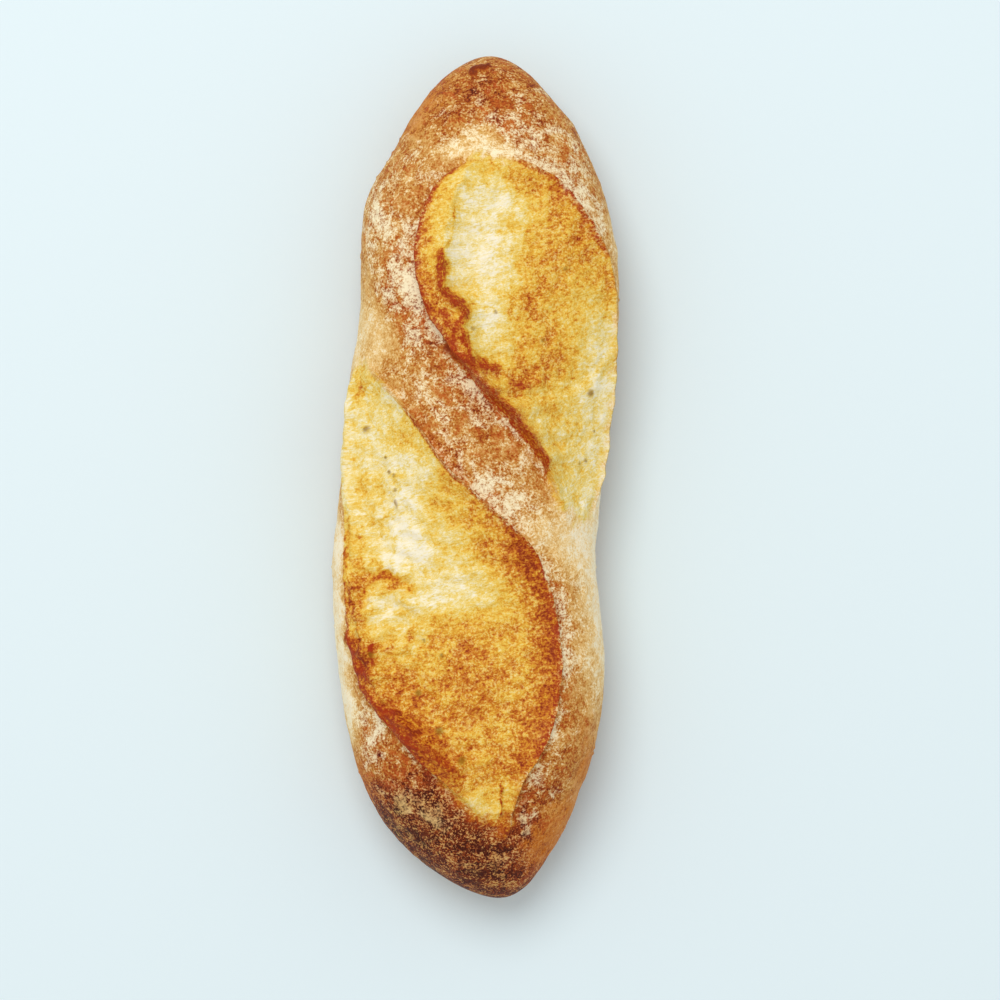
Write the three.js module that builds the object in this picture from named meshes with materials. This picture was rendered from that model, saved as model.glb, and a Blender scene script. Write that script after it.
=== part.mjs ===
// A demi baguette: a short floured loaf, slashed twice on the slant and baked until both slashes tore open.
// Millimetres, +Z up, the loaf lying along Y on its flat base, its origin under the middle of its bounding box.
// The whole loaf is one solid. Its form is a tapered dome on a flat base, with the two torn openings as relief:
// each has an ear (a lifted lip of crust with a step behind it), a shelf, a tear, a risen crown and a crease.

import * as THREE from 'three';
import { mergeVertices } from 'three/addons/utils/BufferGeometryUtils.js';

// ---- Driving dimensions ----

const CREST_HEIGHT = 46.5; // top of the unslashed crust at its widest
const EQUATOR_HEIGHT = 19.5; // where a section is widest
const TIP_HEIGHT = 15.5; // the two tips stand clear of the table
const HALF_WIDTH = 36.4; // half the widest section
const BASE_SINK = 3; // how far the round underside would pass the table, which presses it flat
const CROWN_RISE = 5.2; // how far the torn crumb swells above the crust's own line
const EAR_WALL = 1.8; // width of the step behind an ear
const ROWS = 86; // rings from tip to tip
const CRUST_COLOUR = '#cf9350';

// The plan outline (X, Y), from the upper tip down the right flank and back up the left one.
const OUTLINE = [
  [4, 115], [14, 110.5], [23, 100], [30, 88.5], [36, 74], [39, 58], [38.6, 36], [36, 12],
  [33.3, -10], [32.8, -33], [34.7, -54], [33.6, -71], [27, -88.5], [20.5, -102.5], [13.5, -112],
  [5, -115], [-8, -109.8], [-21.5, -99], [-30.6, -85], [-35.8, -65], [-38.5, -40], [-38.2, -14],
  [-36, 12], [-33.3, 36], [-31.8, 56], [-29.8, 74], [-23, 88.5], [-16.5, 100], [-6, 111],
];

// The seams of the two openings, each as [Y, angle round the loaf], 0 at the crest and 90 at the right flank.
// An opening has its ear on its left and its crease on its right. The shelf is the width, in degrees, of the
// bared crumb between the ear and the tear. Past its opening a seam is level with the crust.
const UPPER_EAR = [
  [115, -10], [98, -7], [87, -9], [79, -24], [70, -31], [59, -33.5], [50, -30], [40, -23], [27, -8],
  [15, 12], [5, 28], [-6, 41], [-22, 55], [-48, 62], [-115, 50],
];
const UPPER_SHELF = [
  [115, 4], [98, 5], [87, 6], [77, 14], [59, 15], [50, 13], [44, 17], [36, 12], [27, 9], [15, 7], [-6, 4], [-115, 4],
];
const UPPER_CREASE = [
  [115, 12], [98, 9], [88, 9], [84, 21], [79, 38], [71, 50], [60, 64], [47, 73], [28, 80], [8, 82],
  [-8, 78], [-24, 82], [-48, 88], [-115, 75],
];
const LOWER_EAR = [
  [115, -75], [82, -88], [48, -86], [32, -78], [2, -76], [-12, -70], [-28, -66], [-43, -62],
  [-57, -55], [-68, -40], [-76, -28], [-84, -11], [-91, -2], [-100, -1], [-115, -6],
];
const LOWER_SHELF = [
  [115, 4], [32, 4], [2, 6], [-28, 9], [-43, 12], [-64, 13], [-76, 14], [-84, 8], [-91, 5], [-115, 4],
];
const LOWER_CREASE = [
  [115, -50], [82, -60], [48, -62], [34, -64], [27, -52], [21, -38], [12, -23], [3, -11], [-5, 4],
  [-12, 18], [-20, 31], [-33, 41], [-46, 43.5], [-59, 40.5], [-71, 34], [-80, 24], [-89, 14], [-100, 9],
  [-115, 10],
];

// ---- Curves and blends ----

const DEGREE = Math.PI / 180;
const SAMPLES = 400; // points that a smooth curve is read from
const { lerp, clamp, smoothstep: ease } = THREE.MathUtils;

// A value read at Y from a line of points [Y, value].
function readLine(line, y) {
  const next = line.findIndex((point) => point[0] >= y);
  if (next <= 0) return line.at(next)[1];
  const [before, after] = [line[next - 1], line[next]];
  return lerp(before[1], after[1], (y - before[0]) / (after[0] - before[0]));
}

// A value that follows Y smoothly through a few points [Y, value].
function follow(points) {
  const curve = new THREE.SplineCurve(points.map(([y, value]) => new THREE.Vector2(y, value)));
  const line = curve.getPoints(SAMPLES).map((point) => point.toArray()).sort((a, b) => a[0] - b[0]);
  return (y) => readLine(line, y);
}

// 1 between two ends and 0 outside them, eased over fadeLow and fadeHigh inside its ends.
const span = (y, low, high, fadeLow, fadeHigh) =>
  ease(y, low, low + fadeLow) * (1 - ease(y, high - fadeHigh, high));

// ---- The unslashed loaf ----

const outline = new THREE.CatmullRomCurve3(
  OUTLINE.map(([x, y]) => new THREE.Vector3(x, y, 0)), true, 'catmullrom', 0.5,
).getPoints(SAMPLES).slice(0, SAMPLES);
const upperTip = outline.indexOf(outline.reduce((a, b) => (b.y > a.y ? b : a)));
const lowerTip = outline.indexOf(outline.reduce((a, b) => (b.y < a.y ? b : a)));
const TIP_Y = [outline[lowerTip].y, outline[upperTip].y];

// One flank of the outline, from one of its points round to another, as X read at Y.
function flank(first, last) {
  const steps = (last - first + SAMPLES) % SAMPLES;
  const line = Array.from({ length: steps + 1 }, (_, i) => outline[(first + i) % SAMPLES])
    .map((point) => [point.y, point.x])
    .sort((a, b) => a[0] - b[0]);
  return (y) => readLine(line, y);
}
const rightX = flank(upperTip, lowerTip);
const leftX = flank(lowerTip, upperTip);

const RISE_TAPER = 0.85; // below 1, the crest stays high towards the tips
const FALL_TAPER = 0.6; // and the underside stays low
const UNDERSIDE_SQUARENESS = 2.8; // exponent of the superellipse below the equator

// The point of the unslashed crust at Y, at an angle round the loaf.
function crustPoint(y, angle) {
  const half = Math.max(0, rightX(y) - leftX(y)) / 2;
  const spine = (rightX(y) + leftX(y)) / 2;
  const fullness = half / HALF_WIDTH;
  const equator = lerp(TIP_HEIGHT, EQUATOR_HEIGHT, fullness);
  const across = Math.sin(angle * DEGREE);
  const up = Math.cos(angle * DEGREE);
  if (up >= 0) {
    const rise = (CREST_HEIGHT - EQUATOR_HEIGHT) * fullness ** RISE_TAPER;
    return new THREE.Vector3(spine + half * across, y, equator + rise * up);
  }
  const fall = (EQUATOR_HEIGHT + BASE_SINK) * fullness ** FALL_TAPER;
  const power = 2 / UNDERSIDE_SQUARENESS;
  const squareAcross = Math.sign(across) * Math.abs(across) ** power;
  return new THREE.Vector3(spine + half * squareAcross, y, equator - fall * (-up) ** power);
}

// The crust's outward direction there.
function outward(y, angle) {
  const around = crustPoint(y, angle + 1).sub(crustPoint(y, angle - 1));
  const [before, after] = [Math.max(y - 1, TIP_Y[0]), Math.min(y + 1, TIP_Y[1])];
  const along = crustPoint(after, angle).sub(crustPoint(before, angle));
  return along.cross(around).normalize();
}

// ---- The two torn openings ----

const EAR_REACH = 6; // how far from its edge an ear begins to lift
const NOTCH_REACH = 1.3; // width of the tear's cut into the shelf
const EDGE_REACH = 1.7; // how steeply the crown climbs out of the tear
const CREASE_REACH = 1.6; // width of the crease
const LIP = 0.9; // the crust swells this much beyond the crease
const LIP_REACH = 5;
const FULL_OPENING = 34; // an opening this wide swells all the way
const LOW_FADE = 16; // an opening dies away over these lengths at its two ends
const HIGH_FADE = 12;

function opening(ear, shelf, crease, sizes) {
  const [earAt, shelfAt] = [follow(ear), follow(shelf)];
  return { ...sizes, ear: earAt, tear: (y) => earAt(y) + shelfAt(y), crease: follow(crease) };
}
const upper = opening(UPPER_EAR, UPPER_SHELF, UPPER_CREASE, {
  low: -14, high: 90, earLift: 1.9, earDrop: 3.2, tearDepth: 1.6, creaseDepth: 1.4,
});
const lower = opening(LOWER_EAR, LOWER_SHELF, LOWER_CREASE, {
  low: -92, high: 34, earLift: 1.3, earDrop: 2.2, tearDepth: 1.0, creaseDepth: 1.4,
});

// How many millimetres of crust one degree round the loaf spans at Y.
const ARC_SHARE = 0.9; // the dome is a little lower than it is wide
const degreeSpan = (y) => Math.max(1, rightX(y) - leftX(y)) / 2 * ARC_SHARE * DEGREE;

// Distance in millimetres from a seam, measured square to it, positive on its right.
function beside(seam, y, angle) {
  const scale = degreeSpan(y);
  const slant = (seam(y + 1) - seam(y - 1)) / 2 * scale;
  return (angle - seam(y)) * scale / Math.hypot(1, slant);
}

// Height of one opening's relief above the unslashed crust.
function openingRelief(part, y, angle) {
  const strength = span(y, part.low, part.high, LOW_FADE, HIGH_FADE);
  if (strength <= 0) return 0;
  const fromEar = beside(part.ear, y, angle);
  const fromTear = beside(part.tear, y, angle);
  const fromCrease = beside(part.crease, y, angle);
  if (fromEar <= 0) return part.earLift * Math.exp(fromEar / EAR_REACH) * strength;
  if (fromCrease >= 0) return LIP * Math.exp(-fromCrease / LIP_REACH) * strength;
  if (fromTear <= 0) {
    const shelf = lerp(part.earLift, -part.earDrop, ease(fromEar, 0, EAR_WALL));
    return (shelf - part.tearDepth * Math.exp(fromTear / NOTCH_REACH)) * strength;
  }
  const width = fromTear - fromCrease;
  const swell = Math.sin(Math.PI * (fromTear / width) ** 0.8) ** 0.75;
  const crown = CROWN_RISE * Math.min(1, width / FULL_OPENING) * swell;
  const edge = (part.earDrop + part.tearDepth) * Math.exp(-fromTear / EDGE_REACH);
  const crease = part.creaseDepth * Math.exp(fromCrease / CREASE_REACH);
  return (crown - edge - crease) * strength;
}

// A slow unevenness, as dough rises by hand: two waves that cross.
const unevenness = (y, angle) =>
  0.5 * Math.sin(y / 13 + 1.1) * Math.sin(angle * DEGREE * 2 + y / 31)
  + 0.35 * Math.sin(y / 7.3 + angle * DEGREE * 3);

const RELIEF_EDGES = [96, 128]; // the relief dies away between these angles, above the flat base
const TIP_FADE = 12; // and over this length at each tip

// The finished surface at Y, at an angle round the loaf.
function loafPoint(y, angle) {
  const point = crustPoint(y, angle);
  const fade = (1 - ease(Math.abs(angle), ...RELIEF_EDGES)) * span(y, ...TIP_Y, TIP_FADE, TIP_FADE);
  const relief = openingRelief(upper, y, angle) + openingRelief(lower, y, angle) + unevenness(y, angle);
  point.addScaledVector(outward(y, angle), relief * fade);
  point.z = Math.max(0, point.z);
  return point;
}

// ---- The mesh: rings of columns that keep to the seams, so that each step stays sharp ----

const BASE_EDGE = 112; // the flat base starts near this angle on both sides
const CREASE_HALF = 0.8; // degrees on each side of a crease
const toDegrees = (length, y) => length / degreeSpan(y);

// The columns of one opening: how many lie up to each line of it, and the line's angle at Y.
const openingColumns = (part, shelfColumns, crownColumns) => [
  [1, (y) => Math.min(part.ear(y) + toDegrees(EAR_WALL, y), lerp(part.ear(y), part.tear(y), 0.4))],
  [shelfColumns, (y) => part.tear(y)],
  [1, (y) => Math.min(part.tear(y) + toDegrees(EDGE_REACH, y), lerp(part.tear(y), part.crease(y), 0.3))],
  [crownColumns, (y) => part.crease(y) - CREASE_HALF],
  [1, (y) => part.crease(y) + CREASE_HALF],
];
const LINES = [
  [5, () => -BASE_EDGE],
  [7, lower.ear],
  ...openingColumns(lower, 2, 8),
  [8, upper.ear],
  ...openingColumns(upper, 2, 9),
  [7, () => BASE_EDGE],
  [5, () => 180],
];
const COLUMNS = LINES.reduce((sum, [count]) => sum + count, 0);

function columnAngle(column, y) {
  let [from, at] = [0, -180];
  for (const [count, line] of LINES) {
    if (column <= from + count) return lerp(at, line(y), (column - from) / count);
    from += count;
    at = line(y);
  }
  return at;
}

// Rings lie evenly along the loaf and close up towards the tips, which keeps these round.
const CLOSE_UP = 0.2;
function ringY(share) {
  const even = 2 * share - 1;
  const closed = (1 + CLOSE_UP) * even - CLOSE_UP * Math.sign(even) * Math.abs(even) ** 6;
  return lerp(...TIP_Y, (closed + 1) / 2);
}

function loafGeometry() {
  const geometry = new THREE.SphereGeometry(1, COLUMNS, ROWS);
  const { position, uv } = geometry.attributes;
  for (let i = 0; i < position.count; i += 1) {
    const row = Math.round(uv.getY(i) * ROWS);
    const column = clamp(Math.round(uv.getX(i) * COLUMNS), 0, COLUMNS);
    const y = ringY(row / ROWS);
    const isTip = row === 0 || row === ROWS;
    const point = isTip ? crustPoint(y, 0) : loafPoint(y, columnAngle(column, y));
    position.setXYZ(i, ...point);
  }
  geometry.deleteAttribute('normal');
  geometry.deleteAttribute('uv');
  const closed = mergeVertices(geometry, 1e-3);
  closed.computeBoundingBox();
  const middle = closed.boundingBox.getCenter(new THREE.Vector3());
  closed.translate(-middle.x, -middle.y, -closed.boundingBox.min.z);
  closed.computeVertexNormals();
  return closed;
}

const crust = new THREE.MeshStandardMaterial({ color: CRUST_COLOUR, roughness: 0.8, metalness: 0 });

const loaf = new THREE.Mesh(loafGeometry(), crust);
loaf.name = 'loaf';

const baguette = new THREE.Group();
baguette.add(loaf);

export default baguette;
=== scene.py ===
# A demi baguette: a floured, pointed loaf whose two slanting slashes tore open in the oven.
import math

import bpy
import numpy as np
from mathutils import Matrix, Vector, noise


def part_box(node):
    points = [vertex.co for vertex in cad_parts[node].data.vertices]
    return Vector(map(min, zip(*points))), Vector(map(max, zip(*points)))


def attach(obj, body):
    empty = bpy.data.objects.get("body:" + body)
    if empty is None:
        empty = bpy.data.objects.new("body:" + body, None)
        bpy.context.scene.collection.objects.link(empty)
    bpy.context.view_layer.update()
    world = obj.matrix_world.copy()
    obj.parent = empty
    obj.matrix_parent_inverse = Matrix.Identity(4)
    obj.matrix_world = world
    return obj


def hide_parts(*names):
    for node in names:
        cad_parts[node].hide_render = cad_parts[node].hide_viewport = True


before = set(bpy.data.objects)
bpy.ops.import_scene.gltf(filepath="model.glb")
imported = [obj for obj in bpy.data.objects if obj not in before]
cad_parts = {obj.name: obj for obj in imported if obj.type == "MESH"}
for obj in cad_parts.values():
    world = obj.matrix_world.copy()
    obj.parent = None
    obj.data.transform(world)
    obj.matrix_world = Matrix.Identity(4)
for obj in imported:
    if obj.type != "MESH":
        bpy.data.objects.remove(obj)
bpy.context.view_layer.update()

# ---- The shaped dough ----
# A short loaf of wheat dough, rolled to two pointed ends and proved until it bellied out.
# It is one skin from tip to tip, made as rings of points round a spine. Its sizes are in millimetres, and
# they turn to metres when the mesh is made.

MM = 0.001
CREST_HEIGHT = 46.5
EQUATOR_HEIGHT = 19.5
TIP_HEIGHT = 15.5
HALF_WIDTH = 36.4
BASE_SINK = 3
RISE_TAPER = 0.85
FALL_TAPER = 0.6
UNDERSIDE_SQUARENESS = 2.8
CURVE_SAMPLES = 400

# The outline seen from above, clockwise from the upper tip: X and Y.
OUTLINE = [
    (4, 115), (14, 110.5), (23, 100), (30, 88.5), (36, 74), (39, 58), (38.6, 36), (36, 12),
    (33.3, -10), (32.8, -33), (34.7, -54), (33.6, -71), (27, -88.5), (20.5, -102.5), (13.5, -112),
    (5, -115), (-8, -109.8), (-21.5, -99), (-30.6, -85), (-35.8, -65), (-38.5, -40), (-38.2, -14),
    (-36, 12), (-33.3, 36), (-31.8, 56), (-29.8, 74), (-23, 88.5), (-16.5, 100), (-6, 111),
]


def curve_through(points, closed=False):
    """A smooth line of points through a few given ones."""
    knots = np.array(points, float)
    if closed:
        knots = np.vstack([knots[-1:], knots, knots[:2]])
    else:
        knots = np.vstack([knots[:1], knots, knots[-1:]])
    spans = len(knots) - 3
    along = np.linspace(0, spans, CURVE_SAMPLES + 1)
    first = np.minimum(along.astype(int), spans - 1)
    t = (along - first)[:, None]
    before, start, end, after = (knots[first + k] for k in range(4))
    slope_in = (end - before) / 2
    slope_out = (after - start) / 2
    bend = 2 * (start - end) + slope_in + slope_out
    lift = 3 * (end - start) - 2 * slope_in - slope_out
    return start + t * (slope_in + t * (lift + t * bend))


def sorted_by(line, column):
    """The points of a line, put in the order of one of their columns."""
    return line[np.argsort(line[:, column], kind="stable")]


outline = curve_through(OUTLINE, closed=True)[:-1]
upper_tip = int(np.argmax(outline[:, 1]))
lower_tip = int(np.argmin(outline[:, 1]))
TIP_Y = (outline[lower_tip, 1], outline[upper_tip, 1])


def flank(first, last):
    """One flank of the outline, from one of its points round to another, lowest Y first."""
    steps = (last - first) % len(outline)
    return sorted_by(outline[(first + np.arange(steps + 1)) % len(outline)], 1)


RIGHT_FLANK = flank(upper_tip, lower_tip)
LEFT_FLANK = flank(lower_tip, upper_tip)


def section(y):
    """The middle and half the width of the loaf's section at Y."""
    right = np.interp(y, RIGHT_FLANK[:, 1], RIGHT_FLANK[:, 0])
    left = np.interp(y, LEFT_FLANK[:, 1], LEFT_FLANK[:, 0])
    return (right + left) / 2, np.maximum(0, right - left) / 2


def dough_point(y, angle):
    """The skin of the dough before it was slashed, at Y and at an angle from its crest towards the right."""
    spine, half = section(y)
    fullness = half / HALF_WIDTH
    equator = TIP_HEIGHT + (EQUATOR_HEIGHT - TIP_HEIGHT) * fullness
    across = np.sin(np.radians(angle))
    up = np.cos(np.radians(angle))
    rise = (CREST_HEIGHT - EQUATOR_HEIGHT) * fullness ** RISE_TAPER
    fall = (EQUATOR_HEIGHT + BASE_SINK) * fullness ** FALL_TAPER
    power = 2 / UNDERSIDE_SQUARENESS
    square_across = np.sign(across) * np.abs(across) ** power
    x = spine + half * np.where(up >= 0, across, square_across)
    z = equator + np.where(up >= 0, rise * up, -fall * np.abs(up) ** power)
    return np.stack([x, y + 0 * angle, z], axis=-1)


def unit(vectors):
    """Vectors of the same direction, one long."""
    return vectors / np.maximum(1e-9, np.linalg.norm(vectors, axis=-1, keepdims=True))


# ---- The two slashes ----
# A baker's blade went in at a slant, so each slash opened as an ear, which is a lip of crust that lifts and
# curls over. To its right come a step, a shelf of bared crumb, a ragged tear, a swollen crown and a crease.

DEGREE = math.radians(1)
ARC_SHARE = 0.9
LEAST_HALF_WIDTH = 0.5
SEAM_SAMPLES = 1601
NARROWEST_SHELF = 2.5

# The seams of the two openings: Y, then the angle round the loaf. A shelf's angle counts from its ear.
UPPER_EAR = [
    (115, -10), (98, -7), (87, -9), (79, -24), (70, -31), (59, -33.5), (50, -30), (40, -23), (27, -8),
    (15, 12), (5, 28), (-6, 41), (-22, 55), (-48, 62), (-115, 50),
]
UPPER_SHELF = [
    (115, 4), (98, 5), (87, 6), (77, 14), (59, 15), (50, 13), (44, 17), (36, 12), (27, 9), (15, 7),
    (-6, 4), (-115, 4),
]
UPPER_CREASE = [
    (115, 12), (98, 9), (88, 9), (84, 21), (79, 38), (71, 50), (60, 64), (47, 73), (28, 80), (8, 82),
    (-8, 78), (-24, 82), (-48, 88), (-115, 75),
]
LOWER_EAR = [
    (115, -75), (82, -88), (48, -86), (32, -78), (2, -74), (-12, -67), (-28, -62), (-43, -59.5),
    (-57, -54), (-68, -40), (-76, -28), (-84, -13), (-91, 1), (-97, 10), (-104, 15), (-115, 16),
]
LOWER_SHELF = [
    (115, 4), (32, 4), (2, 6), (-28, 9), (-43, 12), (-64, 13), (-76, 14), (-84, 8), (-91, 5), (-115, 4),
]
LOWER_CREASE = [
    (115, -50), (82, -60), (48, -62), (34, -64), (27, -52), (21, -38), (12, -23), (3, -11), (-5, 4),
    (-12, 18), (-20, 31), (-33, 41), (-46, 43.5), (-59, 40.5), (-71, 34), (-80, 27), (-89, 24), (-97, 24),
    (-115, 22),
]


def ease(value, low, high):
    """0 below low and 1 above high, with a soft passage between them."""
    t = np.clip((value - low) / (high - low), 0, 1)
    return t * t * (3 - 2 * t)


def blend(first, second, share):
    """The first value, moved by a share of the way to the second."""
    return first + (second - first) * share


def span(y, low, high, low_fade, high_fade):
    """1 between two ends and 0 outside them, faded inside each end."""
    return ease(y, low, low + low_fade) * (1 - ease(y, high - high_fade, high))


def degree_span(y):
    """Millimetres of crust for each degree round the loaf."""
    return np.maximum(LEAST_HALF_WIDTH, section(y)[1]) * ARC_SHARE * DEGREE


def ragged(y, size, seed):
    """A torn edge's wander along Y, about -1 to 1."""
    flat = np.ravel(y)
    wander = [noise.fractal(Vector((value / size, seed, 0)), 1.0, 2.0, 3) for value in flat]
    return np.array(wander).reshape(np.shape(y))


def seam(points, torn_by, size, seed):
    """Angle of a seam as a function of Y, torn off its line by about so many millimetres."""
    line = sorted_by(curve_through(points), 0)
    rows = np.linspace(*TIP_Y, SEAM_SAMPLES)
    angles = np.interp(rows, line[:, 0], line[:, 1]) + torn_by * ragged(rows, size, seed) / degree_span(rows)
    return lambda y: np.interp(y, rows, angles)


class Slash:
    """One opening: where its seams run, and how far its crust and crumb stand up or sink."""

    def __init__(self, ear, shelf, crease, seed, low, high, tear_depth, **along):
        self.ear = seam(ear, torn_by=0.35, size=5.0, seed=seed)
        self.shelf = seam(shelf, torn_by=1.1, size=3.2, seed=seed + 3)
        self.crease = seam(crease, torn_by=0.45, size=6.0, seed=seed + 6)
        self.low = low
        self.high = high
        self.tear_depth = tear_depth
        self.along = along

    def tear(self, y):
        """Angle of the tear, on the far side of the shelf."""
        return self.ear(y) + np.maximum(NARROWEST_SHELF, self.shelf(y))

    def at(self, name, y):
        """One of the sizes that change along the loaf, given as a row of Ys and a row of values."""
        places, values = self.along[name]
        return np.interp(y, places, values)


# low and high are where the opening ends. curl is how far its lip turns over, wall is the width of the step
# behind the ear, and rip tells how sharply the crumb tore. The two soft widths are the millimetres over
# which crust passes into crumb.
upper = Slash(
    UPPER_EAR, UPPER_SHELF, UPPER_CREASE, seed=11,
    low=-14, high=90, tear_depth=1.6,
    curl=[(-14, 90), (1.1, 1.1)],
    ear_lift=[(-14, -2, 12, 90), (0.6, 1.0, 1.9, 1.9)],
    ear_drop=[(-14, -2, 12, 90), (1.0, 1.7, 3.2, 3.2)],
    wall=[(-14, 4, 14, 32, 42), (1.2, 2.4, 3.6, 3.2, 1.8)],
    rip=[(-14, 20, 34, 56, 66, 90), (0.5, 0.6, 1, 1, 0.3, 0.1)],
    soft_ear=[(-14, -4, 6, 74, 84, 90), (4, 2.5, 0.4, 0.4, 3, 5)],
    soft_crease=[(-14, 42, 54, 76, 86, 92), (4, 4, 0.7, 0.7, 3, 6)],
)
lower = Slash(
    LOWER_EAR, LOWER_SHELF, LOWER_CREASE, seed=31,
    low=-98, high=34, tear_depth=1.0,
    curl=[(-90, -76, 34), (0, 0.5, 0.5)],
    ear_lift=[(-92, -76, -30, -6, 34), (0.2, 1.2, 1.3, 0.6, 0.4)],
    ear_drop=[(-92, -76, -30, -6, 34), (0.4, 2.0, 2.2, 1.1, 0.7)],
    wall=[(-92, 34), (1.8, 1.8)],
    rip=[(-92, -80, -45, -28, 34), (0.4, 0.8, 0.9, 0.3, 0.1)],
    soft_ear=[(-98, -90, -82, -76, -34, -8, 34), (9, 6, 3, 0.8, 0.5, 3, 4)],
    soft_crease=[(-98, -90, -82, -76, 18, 34), (8, 5, 2.4, 0.8, 0.5, 3)],
)

# How many millimetres each form takes to die away and how high or deep it is, and how the crown is domed.
SLANT_STEP = 2
LOW_FADE = 16
HIGH_FADE = 12
EAR_REACH = 6
CURL_REACH = 2.2
NOTCH_REACH = 1.3
EDGE_REACH = 1.7
STRETCH_REACH = 5.5
CREASE_REACH = 1.6
CREASE_DEPTH = 1.4
LIP_RISE = 0.9
LIP_REACH = 5
CROWN_RISE = 5.2
CROWN_LEAN = 0.8
CROWN_FULLNESS = 0.75
FULL_OPENING = 34


def beside(line, y, angle):
    """Millimetres from a seam, square to it, positive on its right."""
    scale = degree_span(y)
    slant = (line(y + SLANT_STEP) - line(y - SLANT_STEP)) / (2 * SLANT_STEP) * scale
    return (angle - line(y)) * scale / np.hypot(1, slant)


def torn_relief(slash, y, angle):
    """How far an opening lifts the skin, how far it pulls it to the right, and where its parts lie."""
    strength = span(y, slash.low, slash.high, LOW_FADE, HIGH_FADE)
    ear = beside(slash.ear, y, angle)
    tear = beside(slash.tear, y, angle)
    crease = beside(slash.crease, y, angle)
    wall = slash.at("wall", y)
    rip = slash.at("rip", y)
    lift = slash.at("ear_lift", y)
    drop = slash.at("ear_drop", y)
    step = ease(ear, 0, wall)
    shelf = blend(lift, -drop, step)
    notch = slash.tear_depth * rip * np.exp(np.minimum(0, tear) / NOTCH_REACH)
    width = np.maximum(1e-6, tear - crease)
    share = np.clip(tear / width, 0, 1)
    dome = np.sin(np.pi * share ** CROWN_LEAN) ** CROWN_FULLNESS
    crown = CROWN_RISE * np.minimum(1, width / FULL_OPENING) * dome
    edge_reach = blend(STRETCH_REACH, EDGE_REACH, rip)
    edge = (drop + slash.tear_depth * rip) * np.exp(-np.maximum(0, tear) / edge_reach)
    fold = CREASE_DEPTH * np.exp(np.minimum(0, crease) / CREASE_REACH)
    lip = LIP_RISE * np.exp(-np.maximum(0, crease) / LIP_REACH)
    height = np.select(
        [ear <= 0, crease >= 0, tear <= 0],
        [lift * np.exp(np.minimum(0, ear) / EAR_REACH), lip, shelf - notch],
        crown - edge - fold,
    )
    curl = slash.at("curl", y) * np.where(
        ear <= 0,
        np.exp(np.minimum(0, ear) / CURL_REACH),
        blend(1, -1, step) * np.exp(-np.maximum(0, ear - wall) / CURL_REACH),
    )
    parts = {"strength": strength, "ear": ear, "tear": tear, "crease": crease}
    return height * strength, curl * strength * (crease < 0), parts


# ---- The rings and columns of the skin ----
# The skin is a grid. Its rings go round the loaf, closer together towards the tips, and its columns keep to
# the seams of the slashes, so that every lip and tear stays sharp.

RINGS = 360
CLOSE_UP = 0.2
CLOSE_UP_POWER = 6
# The edge of the base and half the width of a crease, in degrees, and the shares of the shelf and of the
# crown that the foot of a step and the rim of a tear may take.
BASE_EDGE = 112
CREASE_HALF = 0.8
FOOT_LIMIT = 0.65
RIM_LIMIT = 0.3

shares = np.linspace(0, 1, RINGS + 1)[1:-1]
even = 2 * shares - 1
closed_up = (1 + CLOSE_UP) * even - CLOSE_UP * np.sign(even) * np.abs(even) ** CLOSE_UP_POWER
ring_y = blend(TIP_Y[0], TIP_Y[1], (closed_up + 1) / 2)


def opening_columns(slash, wall, shelf, edge, crown, crease):
    """Angles of the lines of one opening, with the columns that lie up to each."""
    ear_at, tear_at, crease_at = slash.ear(ring_y), slash.tear(ring_y), slash.crease(ring_y)
    scale = degree_span(ring_y)
    foot = np.minimum(ear_at + slash.at("wall", ring_y) / scale, blend(ear_at, tear_at, FOOT_LIMIT))
    rim = np.minimum(tear_at + EDGE_REACH / scale, blend(tear_at, crease_at, RIM_LIMIT))
    return [
        (wall, foot), (shelf, tear_at), (edge, rim), (crown, crease_at - CREASE_HALF),
        (crease, crease_at + CREASE_HALF),
    ]


# The lines from tip to tip, from the left of the base over the crest: the columns up to each, and its angle.
flat_line = np.ones_like(ring_y)
lines = [
    (12, -BASE_EDGE * flat_line),
    (30, lower.ear(ring_y)),
    *opening_columns(lower, wall=6, shelf=9, edge=5, crown=48, crease=4),
    (40, upper.ear(ring_y)),
    *opening_columns(upper, wall=6, shelf=10, edge=5, crown=50, crease=4),
    (32, BASE_EDGE * flat_line),
    (12, 180 * flat_line),
]
columns = []
line_before = -180 * flat_line
for count, line_after in lines:
    columns += [blend(line_before, line_after, k / count) for k in range(count)]
    line_before = line_after
angle = np.stack(columns, axis=1)
y = ring_y[:, None] + 0 * angle

dough = dough_point(y, angle)
around = dough_point(y, angle + 1) - dough_point(y, angle - 1)
ahead = np.minimum(y + 1, TIP_Y[1])
behind = np.maximum(y - 1, TIP_Y[0])
along = dough_point(ahead, angle) - dough_point(behind, angle)
outward = unit(np.cross(along, around))
rightward = unit(around)

# All relief fades out on the underside and towards the two tips.
RELIEF_EDGES = (96, 128)
TIP_FADE = 12
fade = (1 - ease(np.abs(angle), *RELIEF_EDGES)) * span(y, *TIP_Y, TIP_FADE, TIP_FADE)
turned = np.radians(angle)
unevenness = (
    0.5 * np.sin(y / 13 + 1.1) * np.sin(turned * 2 + y / 31)
    + 0.35 * np.sin(y / 7.3 + turned * 3)
)
upper_height, upper_curl, in_upper = torn_relief(upper, y, angle)
lower_height, lower_curl, in_lower = torn_relief(lower, y, angle)

# ---- The skin's own roughness ----
# Oven heat leaves a leathery crust on the floured skin, stretched folds across the torn crumb, small
# blisters, and pores where gas broke through.

spots = [Vector(point) for point in dough.reshape(-1, 3)]


def field(size, octaves, seed, places=spots):
    """Uneven value over the skin, about -1 to 1, with lumps of this size in millimetres."""
    shift = Vector((seed, -seed, 0.5 * seed))
    values = [noise.fractal(place / size + shift, 1.0, 2.0, octaves) for place in places]
    return np.array(values).reshape(angle.shape)


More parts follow.
